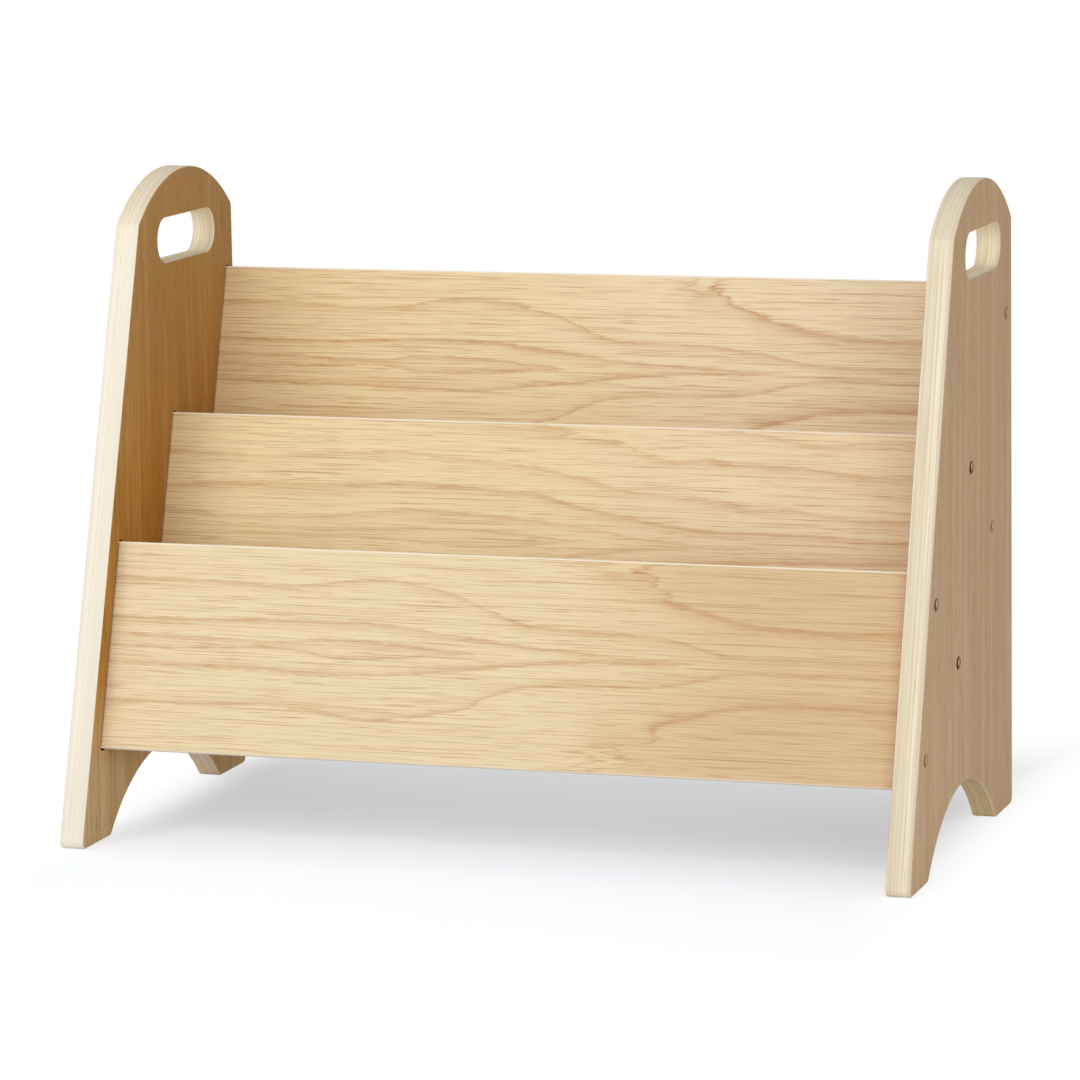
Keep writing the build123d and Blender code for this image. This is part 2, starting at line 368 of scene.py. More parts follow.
def oak_board(node, rings, middle_line, tones=(0.18, 0.5), tints=("#FFFFFF", "#FFFFFF"),
              across="Z", through="Y"):
    """Oak-veneered plywood: the veneer on both faces, the plies on its cut edges."""
    # Flat-sawn oak veneer on 9 mm plywood, sanded and sealed with a clear matt lacquer. The eye
    # sees cathedral rings of pinkish late wood with a sharp outer edge, fine dark pore dashes
    # along the grain, and a soft even sheen.
    material, tree, shader = new_material("oak_veneer_" + node)
    places = slope_places(tree)
    axes = add_node(tree, "ShaderNodeSeparateXYZ", {"Vector": places}).outputs
    height, share = board_grain(tree, places, axes[across], axes["X"], middle_line)
    first_tone = add_node(tree, "ShaderNodeMapRange", {
        "Value": axes["X"], "From Min": TONE_SHIFT[0], "From Max": TONE_SHIFT[1],
        "To Min": tones[0], "To Max": tones[1]}, interpolation_type="SMOOTHSTEP")
    late_wood, tone = growth_rings(tree, rings, height, share, first_tone)

    # Late wood comes and goes along a ring; the wood between rings has faint streaks
    patchy = grain_noise(tree, places, PATCH_GRAIN)
    patch = add_node(tree, "ShaderNodeMapRange", {
        "Value": patchy, "From Min": NOISE_LOW, "From Max": NOISE_HIGH,
        "To Min": PATCHINESS[0], "To Max": PATCHINESS[1]})
    late = add_node(tree, "ShaderNodeMath", {0: late_wood, 1: patch}, operation="MULTIPLY",
                    use_clamp=True)
    streaks = grain_noise(tree, places, STREAK_GRAIN)
    streak_tone = add_node(tree, "ShaderNodeMapRange", {
        "Value": streaks, "From Min": NOISE_LOW, "From Max": NOISE_HIGH, "To Min": -STREAK,
        "To Max": STREAK})
    toned = add_node(tree, "ShaderNodeMath", {0: tone, 1: streak_tone}, operation="ADD",
                     use_clamp=True)
    early = set_stops(add_node(tree, "ShaderNodeValToRGB", {"Fac": toned}), EARLY_WOOD)
    wood = add_node(tree, "ShaderNodeMix", {"Factor": late, "A": early,
                                            "B": linear("#D29E6E")}, data_type="RGBA")

    long_pores, fine_pores, short_pores = oak_pores(tree, places)
    everywhere = add_node(tree, "ShaderNodeMath", {0: long_pores, 1: fine_pores},
                          operation="MAXIMUM")
    ring_pores = add_node(tree, "ShaderNodeMath", {0: short_pores, 1: late},
                          operation="MULTIPLY")
    pores = add_node(tree, "ShaderNodeMath", {0: everywhere, 1: ring_pores},
                     operation="MAXIMUM", use_clamp=True)
    pored = add_node(tree, "ShaderNodeMix", {"Factor": pores, "A": wood,
                                             "B": linear("#BE8A58")}, data_type="RGBA")
    # A tint along the board: painted warm light reflected from the sides
    right_end = add_node(tree, "ShaderNodeMapRange", {
        "Value": axes["X"], "From Min": TINT_SHIFT[0], "From Max": TINT_SHIFT[1]})
    tint = add_node(tree, "ShaderNodeMix", {
        "Factor": right_end, "A": linear(tints[0]), "B": linear(tints[1])}, data_type="RGBA")
    veneer = add_node(tree, "ShaderNodeMix", {"Factor": 1.0, "A": pored, "B": tint},
                      data_type="RGBA", blend_type="MULTIPLY")

    # Cut edges under the veneer, painted shade at the joints at the ends, and painted highlights
    # on the arrises over both
    shown = on_plies(tree, axes[through], slope_span(node, through), veneer)
    from_middle = add_node(tree, "ShaderNodeMath", {0: axes["X"]}, operation="ABSOLUTE")
    # Painted shade along the board's ends where they meet the sides
    joint_shading = add_node(tree, "ShaderNodeMapRange", {
        "Value": from_middle, "From Min": INNER_FACE - JOINT_SHADE[0],
        "From Max": INNER_FACE - JOINT_SHADE[1], "To Max": JOINT_SHADE_STRENGTH})
    shaded_at_joint = add_node(tree, "ShaderNodeMix", {"Factor": joint_shading, "A": shown,
                                             "B": linear("#74360F")}, data_type="RGBA")
    # A pale highlight painted along the top and bottom arrises
    arris_highlight = painted_arris_highlight(tree, axes[across], slope_span(node, across))
    highlighted = add_node(tree, "ShaderNodeMix", {"Factor": arris_highlight, "A": shaded_at_joint,
                                             "B": linear("#FFF3DC")}, data_type="RGBA")
    relief = add_node(tree, "ShaderNodeBump", {
        "Strength": OAK_RELIEF, "Distance": PORE_DEPTH, "Height": pores}, invert=True)
    sheen = add_node(tree, "ShaderNodeMapRange", {
        "Value": pores, "To Min": LACQUER_ROUGHNESS, "To Max": PORE_ROUGHNESS})
    feed(tree, shader, {"Base Color": highlighted, "Normal": relief, "Roughness": sheen,
                        "Specular IOR Level": MATT_SHEEN})
    return material


def on_plies(tree, through, span, veneer):
    """A board's veneer on its faces, and the plies under it on its cut edges."""
    depth = add_node(tree, "ShaderNodeMapRange", {
        "Value": through, "From Min": span[0], "From Max": span[1]})
    plies = set_stops(add_node(tree, "ShaderNodeValToRGB", {"Fac": depth}), BOARD_PLIES, "EASE")
    skin = VENEER / (span[1] - span[0])
    inside = add_node(tree, "ShaderNodeMath", {0: depth, 1: 0.5, 2: 0.5 - skin},
                      operation="COMPARE")
    return add_node(tree, "ShaderNodeMix", {"Factor": inside, "A": veneer, "B": plies},
                    data_type="RGBA")


def painted_arris_highlight(tree, across, span):
    """1 close to the top and bottom edges of a board, where a pale highlight is painted."""
    below_top = add_node(tree, "ShaderNodeMath", {0: span[1], 1: across},
                         operation="SUBTRACT")
    above_bottom = add_node(tree, "ShaderNodeMath", {0: across, 1: span[0] - LOWER_ARRIS_LESS},
                            operation="SUBTRACT")
    to_rim = add_node(tree, "ShaderNodeMath", {0: below_top, 1: above_bottom},
                      operation="MINIMUM")
    return add_node(tree, "ShaderNodeMath", {0: to_rim, 1: ARRIS}, operation="LESS_THAN")


# Light wood, dark wood and pores of the sides' veneer: inside, where its deeper golden tones are
# painted shade and warm reflected light between the boards; inside at its paler ends; and
# outside
SHADED_INNER_VENEER = ("#CD9B58", "#B7803D", "#8C5D2D")
LESS_SHADED_VENEER = ("#E4C796", "#D4AE7B", "#A17D53")
OUTER_VENEER = ("#EFD1AC", "#DFBC94", "#B78F66")
# Fine streaks and broad stripes. The real streaks are about 1 mm wide, drawn 3 mm wide because
# the photograph sees the faces at a slant.
FINE_STREAKS = Grain((0.5, 0.3, 0.006), 4.0, 0.7)
BROAD_STRIPES = Grain((0.02, 0.06, 0.0035), 3.0)
# How far the streaks shift the wood from light to dark, and how far its height does between
# foot and crown
STREAK_SHIFT = (-0.5, 0.8)
HEIGHT_SHIFT = (-0.2, 0.4)
SHIFT_HEIGHTS = (60.0, 430.0)
# Heights over which the inner face turns golden with painted shade above the foot, and those
# over which it pales again
PALE_FOOT = (40.0, 110.0)
PALE_CROWN = (240.0, 430.0)
CROWN_SHADE = 0.45
# Short upright pores, the stretch of their noise over which they turn dark, and how dark
UPRIGHT_PORES = Grain((0.8, 0.45, 0.04), 2.0)
UPRIGHT_PORES_SHOW = (0.56, 0.8)
UPRIGHT_PORE_STRENGTH = 0.6

# A painted shadow beside each countersink: in an oval whose middle lies a little forward of
# the screw, this many times as high as it is long. Its edge is this soft, and each is this dark.
COUNTERSINK_RADIUS = 4.7
SHADOW_FORWARD = 1.0
SHADOW_SQUEEZE = 0.75
SHADOW_SOFTNESS = 0.2
COUNTERSINK_SHADOW = {"back_panel_screw_right_top": 0.55, "back_panel_screw_right_bottom": 0.5,
              "middle_panel_screw_right_top": 1.0, "middle_panel_screw_right_bottom": 1.0,
              "front_panel_screw_right_top": 0.8, "front_panel_screw_right_bottom": 0.6}


def painted_countersink_shadow(tree, places):
    """How dark the wood is beside each screw, where a shadow of its countersink is painted."""
    flat = add_node(tree, "ShaderNodeMapping", {"Vector": places,
                                                "Scale": (0.0, SHADOW_SQUEEZE, 1.0)})
    painted_shadow = 0.0
    for name, strength in COUNTERSINK_SHADOW.items():
        low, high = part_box(name)
        shadow_middle = (0.0, ((low.y + high.y) / 2 * PER_METRE - SHADOW_FORWARD) * SHADOW_SQUEEZE,
                (low.z + high.z) / 2 * PER_METRE)
        away = add_node(tree, "ShaderNodeVectorMath", {0: flat, 1: shadow_middle}, operation="DISTANCE")
        shadowed = add_node(tree, "ShaderNodeMapRange", {
            "Value": away, "From Min": COUNTERSINK_RADIUS - SHADOW_SOFTNESS,
            "From Max": COUNTERSINK_RADIUS + SHADOW_SOFTNESS, "To Min": strength, "To Max": 0.0})
        painted_shadow = add_node(tree, "ShaderNodeMath", {0: shadowed, 1: painted_shadow}, operation="MAXIMUM")
    return painted_shadow


def upright_veneer(tree, places, up, outer):
    """The sides' faces: fine streaks, broad darker stripes and short pores, all upright."""
    fine = grain_noise(tree, places, FINE_STREAKS)
    broad = grain_noise(tree, places, BROAD_STRIPES)
    pore_noise = grain_noise(tree, places, UPRIGHT_PORES)
    streak = add_node(tree, "ShaderNodeMapRange", {
        "Value": fine, "From Min": NOISE_LOW, "From Max": NOISE_HIGH,
        "To Min": STREAK_SHIFT[0], "To Max": STREAK_SHIFT[1]})
    stripe = add_node(tree, "ShaderNodeMapRange", {
        "Value": broad, "From Min": NOISE_LOW, "From Max": NOISE_HIGH})
    darkened = add_node(tree, "ShaderNodeMapRange", {
        "Value": up, "From Min": SHIFT_HEIGHTS[0], "From Max": SHIFT_HEIGHTS[1],
        "To Min": HEIGHT_SHIFT[0], "To Max": HEIGHT_SHIFT[1]})
    varied = add_node(tree, "ShaderNodeMath", {0: streak, 1: stripe}, operation="ADD")
    mixed = add_node(tree, "ShaderNodeMath", {0: varied, 1: darkened}, operation="ADD",
                     use_clamp=True)
    above_foot = add_node(tree, "ShaderNodeMapRange", {
        "Value": up, "From Min": PALE_FOOT[0], "From Max": PALE_FOOT[1]})
    below_crown = add_node(tree, "ShaderNodeMapRange", {
        "Value": up, "From Min": PALE_CROWN[0], "From Max": PALE_CROWN[1], "To Min": 1.0,
        "To Max": CROWN_SHADE})
    # Painted shade and warm reflected light between the boards, strongest at middle height
    pocket_shade = add_node(tree, "ShaderNodeMath", {0: above_foot, 1: below_crown},
                      operation="MULTIPLY")
    tones = []
    for pale, inner_tone, outer_tone in zip(LESS_SHADED_VENEER, SHADED_INNER_VENEER, OUTER_VENEER):
        inside = add_node(tree, "ShaderNodeMix", {
            "Factor": pocket_shade, "A": linear(pale), "B": linear(inner_tone)}, data_type="RGBA")
        tones.append(add_node(tree, "ShaderNodeMix", {
            "Factor": outer, "A": inside, "B": linear(outer_tone)}, data_type="RGBA"))
    wood = add_node(tree, "ShaderNodeMix", {"Factor": mixed, "A": tones[0], "B": tones[1]},
                    data_type="RGBA")
    pores = add_node(tree, "ShaderNodeMapRange", {
        "Value": pore_noise, "From Min": UPRIGHT_PORES_SHOW[0],
        "From Max": UPRIGHT_PORES_SHOW[1], "To Max": UPRIGHT_PORE_STRENGTH})
    porous = add_node(tree, "ShaderNodeMix", {"Factor": pores, "A": wood, "B": tones[2]},
                      data_type="RGBA")
    # The painted shadow beside each screw, on the outer faces only
    shadowed = add_node(tree, "ShaderNodeMath", {0: painted_countersink_shadow(tree, places), 1: outer},
                    operation="MULTIPLY")
    veneer = add_node(tree, "ShaderNodeMix", {"Factor": shadowed, "A": porous,
                                              "B": linear("#703407")}, data_type="RGBA")
    return veneer, pores


# Ply colours through a side, from its inner face to its outer one: all round, at the crown,
# where painted light makes them paler, and as a tint on the rear half of the foot's arch
SIDE_PLIES = [(0.0, "#F4E6C8"), (0.04, "#FFFAEA"), (0.08, "#EBDCBB"), (0.2, "#E9DABA"),
              (0.24, "#F4E7C9"), (0.34, "#EEDFBF"), (0.4, "#F5E9CC"), (0.46, "#EADAB6"),
              (0.53, "#FBF0CF"), (0.62, "#F2E3BC"), (0.7, "#FEF7DF"), (0.76, "#F6EBCF"),
              (0.82, "#FCF3DB"), (0.88, "#E9DBBD"), (0.95, "#F1E5CA"), (1.0, "#E8DABD")]
CROWN_PLIES_AND_LIGHT = [(0.0, "#F6E1BE"), (0.1, "#FFF5DD"), (0.22, "#F4E0BC"), (0.28, "#FFF5DD"),
               (0.45, "#FFF6E1"), (0.5, "#F2DCB6"), (0.55, "#FFF6E1"), (0.64, "#FFF5DD"),
               (0.7, "#EFD6AE"), (0.75, "#FFF5DB"), (0.84, "#F1DAB3"), (0.9, "#FFF3D9"),
               (1.0, "#F8E3C2")]
ARCH_PLIES = [(0.0, "#F9F0E5"), (0.1, "#FFFFFF"), (0.2, "#FFFFFF"), (0.24, "#ECDBC7"),
              (0.29, "#FFFFFF"), (0.52, "#FDF8F2"), (0.57, "#E8D3BA"), (0.62, "#FFFFFF"),
              (0.72, "#EAD6BE"), (0.77, "#FFFFFF"), (0.84, "#E4CBAF"), (0.89, "#FFFFFF"),
              (1.0, "#FFFFFF")]

# Lines along the cut edges, the stretch of their noise over which they turn dark, and how dark
EDGE_LINES = Grain((1.3, 0.012, 0.012), 3.0, 0.65)
EDGE_LINES_SHOW = (0.45, 0.7)
EDGE_LINE_STRENGTH = 0.95
# How much painted light pales the front edges, as shares of it on the right side and on the left
# one, and how far behind them this ends
FRONT_PALENESS = 0.6
RIGHT_AND_LEFT = (0.15, 1.0)
FRONT_EDGE = (2.0, 12.0)
# How far back the middle of the arch's rear half is, how far from it its colours end, and the
# height at which they do
REAR_ARCH = 82.0
REAR_ARCH_END = (52.0, 72.0)
ARCH_TOP = (45.0, 60.0)
ARCH_STRENGTH = 0.8
# Heights over which the colours of the crown come in
CROWN_START = (395.0, 430.0)
CROWN_STRENGTH = 0.6
# Where through a side a line of glue flecks shows, and half its width, as shares of thickness,
# and the stretch of their noise over which the flecks do
GLUE_LINE = 0.64
GLUE_WIDTH = 0.035
GLUE_FLECKS = Grain((0.8, 0.08, 0.08), 4.0, 0.75)
FLECKS_SHOW = (0.5, 0.66)
FLECK_STRENGTH = 0.3


def cut_edge(tree, places, axes, depth, behind):
    """The sides' cut edges: plies by their depth in the board, streaked along the outline."""
    plies = set_stops(add_node(tree, "ShaderNodeValToRGB", {"Fac": depth}), SIDE_PLIES, "EASE")
    edge_grain = grain_noise(tree, places, EDGE_LINES)
    edge_tone = add_node(tree, "ShaderNodeMapRange", {
        "Value": edge_grain, "From Min": EDGE_LINES_SHOW[0], "From Max": EDGE_LINES_SHOW[1],
        "To Min": 0.0, "To Max": EDGE_LINE_STRENGTH})
    lined = add_node(tree, "ShaderNodeMix", {"Factor": edge_tone, "A": plies,
                                             "B": linear("#DEC6A4")}, data_type="RGBA")

    # The front edges are made palest with painted light, the left one more than the right one
    left_hand = add_node(tree, "ShaderNodeMath", {0: axes["X"], 1: 0.0}, operation="LESS_THAN")
    front_edge = add_node(tree, "ShaderNodeMapRange", {
        "Value": behind["Y"], "From Min": FRONT_EDGE[0], "From Max": FRONT_EDGE[1],
        "To Min": FRONT_PALENESS, "To Max": 0.0})
    hand = add_node(tree, "ShaderNodeMapRange", {
        "Value": left_hand, "To Min": RIGHT_AND_LEFT[0], "To Max": RIGHT_AND_LEFT[1]})
    paler = add_node(tree, "ShaderNodeMath", {0: hand, 1: front_edge}, operation="MULTIPLY")
    lit_front_edges = add_node(tree, "ShaderNodeMix", {"Factor": paler, "A": lined,
                                                "B": linear("#FFFBEE")}, data_type="RGBA")

    # Across the grain, under the rear half of the arch, the plies show as strong lines
    low_down = add_node(tree, "ShaderNodeMapRange", {
        "Value": axes["Z"], "From Min": ARCH_TOP[0], "From Max": ARCH_TOP[1], "To Min": 1.0,
        "To Max": 0.0})
    from_rear_arch = add_node(tree, "ShaderNodeMath", {0: axes["Y"], 1: REAR_ARCH},
                              operation="SUBTRACT")
    off_rear_arch = add_node(tree, "ShaderNodeMath", {0: from_rear_arch}, operation="ABSOLUTE")
    far_back = add_node(tree, "ShaderNodeMapRange", {
        "Value": off_rear_arch, "From Min": REAR_ARCH_END[0], "From Max": REAR_ARCH_END[1],
        "To Min": ARCH_STRENGTH, "To Max": 0.0})
    under_arch = add_node(tree, "ShaderNodeMath", {0: low_down, 1: far_back},
                          operation="MULTIPLY")
    arch_tone = add_node(tree, "ShaderNodeMix", {
        "Factor": left_hand, "A": linear("#FFEAC0"), "B": linear("#FFF0DC")},
        data_type="RGBA")
    arch_plies = set_stops(add_node(tree, "ShaderNodeValToRGB", {"Fac": depth}), ARCH_PLIES)
    arch_wood = add_node(tree, "ShaderNodeMix", {"Factor": 1.0, "A": arch_tone,
                                                 "B": arch_plies},
                         data_type="RGBA", blend_type="MULTIPLY")
    arched = add_node(tree, "ShaderNodeMix", {"Factor": under_arch, "A": lit_front_edges,
                                              "B": arch_wood}, data_type="RGBA")

    # And so they do on the crown, in cream made paler with painted light
    crown = add_node(tree, "ShaderNodeMapRange", {
        "Value": axes["Z"], "From Min": CROWN_START[0], "From Max": CROWN_START[1],
        "To Min": 0.0, "To Max": CROWN_STRENGTH})
    crown_plies = set_stops(add_node(tree, "ShaderNodeValToRGB", {"Fac": depth}), CROWN_PLIES_AND_LIGHT)
    crowned = add_node(tree, "ShaderNodeMix", {"Factor": crown, "A": arched,
                                               "B": crown_plies}, data_type="RGBA")

    glue_noise = grain_noise(tree, places, GLUE_FLECKS)
    glue_line = add_node(tree, "ShaderNodeMath", {0: depth, 1: GLUE_LINE, 2: GLUE_WIDTH},
                         operation="COMPARE")
    flecks = add_node(tree, "ShaderNodeMapRange", {
        "Value": glue_noise, "From Min": FLECKS_SHOW[0], "From Max": FLECKS_SHOW[1],
        "To Max": FLECK_STRENGTH})
    glue = add_node(tree, "ShaderNodeMath", {0: flecks, 1: glue_line}, operation="MULTIPLY")
    return add_node(tree, "ShaderNodeMix", {"Factor": glue, "A": crowned,
                                            "B": linear("#C2A070")}, data_type="RGBA")


# The grooves lie within this share of a side's thickness, and this close to a panel's faces
# and to its long edges
GROOVE_SHARE = 0.4
GROOVE_BESIDE = 0.6
GROOVE_BEYOND = 2.2


def groove_painted_shade(tree, behind, depth):
    """1 on the walls of the stopped grooves, which are painted dark brown as shade."""
    found = 0.0
    for panel in PANELS:
        within = []
        for axis, margin in (("Y", GROOVE_BESIDE), ("Z", GROOVE_BEYOND)):
            low, high = slope_span(panel, axis)
            within.append(add_node(tree, "ShaderNodeMath", {
                0: behind[axis], 1: (low + high) / 2, 2: (high - low) / 2 + margin},
                operation="COMPARE"))
        both = add_node(tree, "ShaderNodeMath", {0: within[0], 1: within[1]},
                        operation="MULTIPLY")
        found = add_node(tree, "ShaderNodeMath", {0: both, 1: found}, operation="MAXIMUM")
    inner = add_node(tree, "ShaderNodeMath", {0: depth, 1: GROOVE_SHARE},
                     operation="LESS_THAN")
    return add_node(tree, "ShaderNodeMath", {0: found, 1: inner}, operation="MULTIPLY")


SIDE_ROUGHNESS = 0.7


def side_plywood():
    """Plywood for both sides: upright veneer on the faces, stacked plies on every cut edge."""
    # 18 mm birch-core plywood with an upright oak-like veneer, its edges routed round, sanded
    # and sealed with so thin a coat of clear matt lacquer that nothing mirrors. The eye sees
    # fine upright streaks on the faces, and on the edges pale plies, long grain and end grain
    # in turn, that follow the outline.
    material, tree, shader = new_material("birch_plywood_with_upright_veneer")
    coords = add_node(tree, "ShaderNodeTexCoord")
    places = add_node(tree, "ShaderNodeMapping", {
        "Vector": coords.outputs["Object"], "Scale": (PER_METRE,) * 3}, vector_type="POINT")
    axes = add_node(tree, "ShaderNodeSeparateXYZ", {"Vector": places}).outputs
    behind = add_node(tree, "ShaderNodeSeparateXYZ", {"Vector": slope_places(tree)}).outputs
    low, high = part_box("right_side")
    outwards = add_node(tree, "ShaderNodeMath", {0: axes["X"]}, operation="ABSOLUTE")
    depth = add_node(tree, "ShaderNodeMapRange", {
        "Value": outwards, "From Min": low.x * PER_METRE, "From Max": high.x * PER_METRE})
    outer = add_node(tree, "ShaderNodeMath", {0: depth, 1: 0.5}, operation="GREATER_THAN")

    veneer, pores = upright_veneer(tree, places, axes["Z"], outer)
    edge = cut_edge(tree, places, axes, depth, behind)
    # Painted shade darkens the walls of the stopped grooves
    groove_shaded = add_node(tree, "ShaderNodeMix", {
        "Factor": groove_painted_shade(tree, behind, depth), "A": edge, "B": linear("#2E1A0C")},
        data_type="RGBA")
    skin = SIDE_VENEER / ((high.x - low.x) * PER_METRE)
    inside = add_node(tree, "ShaderNodeMath", {0: depth, 1: 0.5, 2: 0.5 - skin},
                      operation="COMPARE")
    shown = add_node(tree, "ShaderNodeMix", {"Factor": inside, "A": veneer, "B": groove_shaded},
                     data_type="RGBA")
    relief = add_node(tree, "ShaderNodeBump", {
        "Strength": SIDE_RELIEF, "Distance": PORE_DEPTH, "Height": pores}, invert=True)
    feed(tree, shader, {"Base Color": shown, "Normal": relief, "Roughness": SIDE_ROUGHNESS,
                        "Specular IOR Level": 0.0})
    return material


BEECH_FLECKS = Grain((1.4, 0.25, 1.4), 2.0)
BEECH_FLECKS_SHOW = (0.35, 0.75)
BEECH_ROUGHNESS = 0.6


def beech():
    """Turned beech for the dowels."""
    # Beech rod, machined and left bare: an even pinkish wood with short dark flecks.
    material, tree, shader = new_material("bare_beech_rod")
    flecks = grain_noise(tree, slope_places(tree), BEECH_FLECKS)
    shade = add_node(tree, "ShaderNodeMapRange", {
        "Value": flecks, "From Min": BEECH_FLECKS_SHOW[0], "From Max": BEECH_FLECKS_SHOW[1]})
    wood = add_node(tree, "ShaderNodeMix", {
        "Factor": shade, "A": linear("#E2C093"), "B": linear("#BE8D5E")}, data_type="RGBA")
    feed(tree, shader, {"Base Color": wood, "Roughness": BEECH_ROUGHNESS})
    return material


# Painted light and shade on a driven screw, in metres. Its head is bright only in a circle about
# a spot behind its middle, a painted highlight, and in front of that lies the painted shadow of
# the countersink's rim; it darkens at its rim with painted shade and dust, and its recess and
# all below it are darkened as painted shade.
BRIGHT_SPOT = (0.0, 4.4 * MM, 0.0)
BRIGHT_EDGE = (3.3 * MM, 3.6 * MM)
RIM_EDGE = (3.9 * MM, 4.2 * MM)
RIM_SHADE_AND_DUST = 0.5
DARK_BELOW = (0.02 * MM, 1.2 * MM)
# The blotches of its plating, and the stretch of their noise over which they show
BLOTCHES = Grain((0.8, 0.8, 0.8), 3.0)
BLOTCHES_SHOW = (0.35, 0.65)
PLATING_ROUGHNESS = 0.32
DIRT_ROUGHNESS = 0.9


def yellow_zinc():
    """Plated steel for the screws."""
    # Steel wood screw with yellow zinc plating: a brassy metal, blotched a little greener and
    # redder where the passivate is thicker. Its front carries the painted shadow of the
    # countersink's rim, its rim painted shade and dust, and its cross recess painted shade, so
    # that each head reads as a small brown ring and cross.
    material, tree, shader = new_material("yellow_zinc_plated_steel")
    blotches = grain_noise(tree, slope_places(tree), BLOTCHES)
    tint = add_node(tree, "ShaderNodeMapRange", {
        "Value": blotches, "From Min": BLOTCHES_SHOW[0], "From Max": BLOTCHES_SHOW[1]})
    plating = add_node(tree, "ShaderNodeMix", {
        "Factor": tint, "A": linear("#DCC795"), "B": linear("#B99A5E")}, data_type="RGBA")
    below_top, head_middle, shadow_strength = [
        add_node(tree, "ShaderNodeAttribute", attribute_name=name).outputs
        for name in ("below_top", "head_middle", "shadow_strength")]
    coords = add_node(tree, "ShaderNodeTexCoord")
    from_middle = add_node(tree, "ShaderNodeVectorMath", {
        0: coords.outputs["Object"], 1: head_middle["Vector"]}, operation="SUBTRACT")
    from_bright = add_node(tree, "ShaderNodeVectorMath", {
        0: from_middle, 1: BRIGHT_SPOT}, operation="DISTANCE")
    # Painted shadow of the countersink's rim over the front of the head
    front = add_node(tree, "ShaderNodeMapRange", {
        "Value": from_bright, "From Min": BRIGHT_EDGE[0], "From Max": BRIGHT_EDGE[1],
        "To Min": 0.0, "To Max": shadow_strength["Fac"]})
    out = add_node(tree, "ShaderNodeVectorMath", {0: from_middle}, operation="LENGTH")
    edge = add_node(tree, "ShaderNodeMapRange", {
        "Value": out, "From Min": RIM_EDGE[0], "From Max": RIM_EDGE[1],
        "To Max": RIM_SHADE_AND_DUST})
    rim = add_node(tree, "ShaderNodeMath", {0: front, 1: edge}, operation="MAXIMUM")
    # Painted shade in the recess and below the head
    sunk = add_node(tree, "ShaderNodeMapRange", {
        "Value": below_top["Fac"], "From Min": DARK_BELOW[0], "From Max": DARK_BELOW[1]})
    dark = add_node(tree, "ShaderNodeMath", {0: rim, 1: sunk}, operation="MAXIMUM")
    shaded_plating = add_node(tree, "ShaderNodeMix", {"Factor": dark, "A": plating,
                                            "B": linear("#6A3206")}, data_type="RGBA")
    dull = add_node(tree, "ShaderNodeMapRange", {
        "Value": dark, "To Min": PLATING_ROUGHNESS, "To Max": DIRT_ROUGHNESS})
    bare = add_node(tree, "ShaderNodeMath", {0: 1.0, 1: dark}, operation="SUBTRACT")
    feed(tree, shader, {"Base Color": shaded_plating, "Roughness": dull, "Metallic": bare,
                        "Specular IOR Level": 0.0})
    return material


# A countersunk wood screw, in millimetres, its lengths measured from the top of its head
SCREW_SIZES = {"Head radius": 4.4, "Head land": 0.2, "Shank radius": 2.0, "Core radius": 1.3,
               "Shank length": 13.0, "Length": 40.0, "Tip length": 4.0, "Pitch": 1.8,
               "Thread radius": 2.0, "Recess span": 5.0, "Recess wing": 1.5, "Recess depth": 2.4}
SCREW_FACETS = 40
THREAD_FACETS = 18
CREST_CORNERS = 4
CREASE = radians(32)
SCREW_SEED = 7
# The thread starts this thin at the point, as a share of its height
THREAD_START = 0.02
# The blank is turned on a tiny circle, whose poles are then closed. Both lengths are in metres.
LATHE_RADIUS = 0.001 * MM
POLE_GAP = 0.01 * MM
# A wing of the recess is cut by a cone, pressed flat, that is 1 wide where it meets the top of
# the head, halfway along it. These are its facets and the radii of its two ends.
PUNCH_FACETS = 8
PUNCH_WIDE = 0.9
PUNCH_TIP = 0.1


def turned_blank(tree, given):
    """The screw's head, shank and point as one body, turned from an outline."""
    taper = add_node(tree, "ShaderNodeMath", {0: given["Head radius"], 1: given["Shank radius"]},
                     operation="SUBTRACT")
    under_head = add_node(tree, "ShaderNodeMath", {0: given["Head land"], 1: taper},
                          operation="ADD")
    step = add_node(tree, "ShaderNodeMath", {0: given["Shank radius"], 1: given["Core radius"]},
                    operation="SUBTRACT")
    core_start = add_node(tree, "ShaderNodeMath", {0: given["Shank length"], 1: step},
                          operation="ADD")
    point_start = add_node(tree, "ShaderNodeMath", {0: given["Length"], 1: given["Tip length"]},
                           operation="SUBTRACT")
    outline = [(0.0, 0.0), (given["Head radius"], 0.0),
               (given["Head radius"], given["Head land"]), (given["Shank radius"], under_head),
               (given["Shank radius"], given["Shank length"]),
               (given["Core radius"], core_start), (given["Core radius"], point_start),
               (0.0, given["Length"])]
    corners = add_node(tree, "GeometryNodeIndexSwitch", {
        "Index": add_node(tree, "GeometryNodeInputIndex")}, data_type="VECTOR")
    while len(corners.index_switch_items) < len(outline):
        corners.index_switch_items.new()
    for place, (from_axis, below_top) in enumerate(outline):
        corner = add_node(tree, "ShaderNodeCombineXYZ", {"X": from_axis, "Y": below_top})
        feed(tree, corners, {place + 1: corner})
    chain = add_node(tree, "GeometryNodeMeshLine", {"Count": len(outline)})
    shaped = add_node(tree, "GeometryNodeSetPosition", {"Geometry": chain, "Position": corners})
    section = add_node(tree, "GeometryNodeMeshToCurve", {"Mesh": shaped})
    lathe = add_node(tree, "GeometryNodeCurvePrimitiveCircle", {
        "Resolution": SCREW_FACETS, "Radius": LATHE_RADIUS}, mode="RADIUS")
    blank = add_node(tree, "GeometryNodeCurveToMesh", {"Curve": lathe,
                                                       "Profile Curve": section})
    return add_node(tree, "GeometryNodeMergeByDistance", {"Geometry": blank,
                                                          "Distance": POLE_GAP})


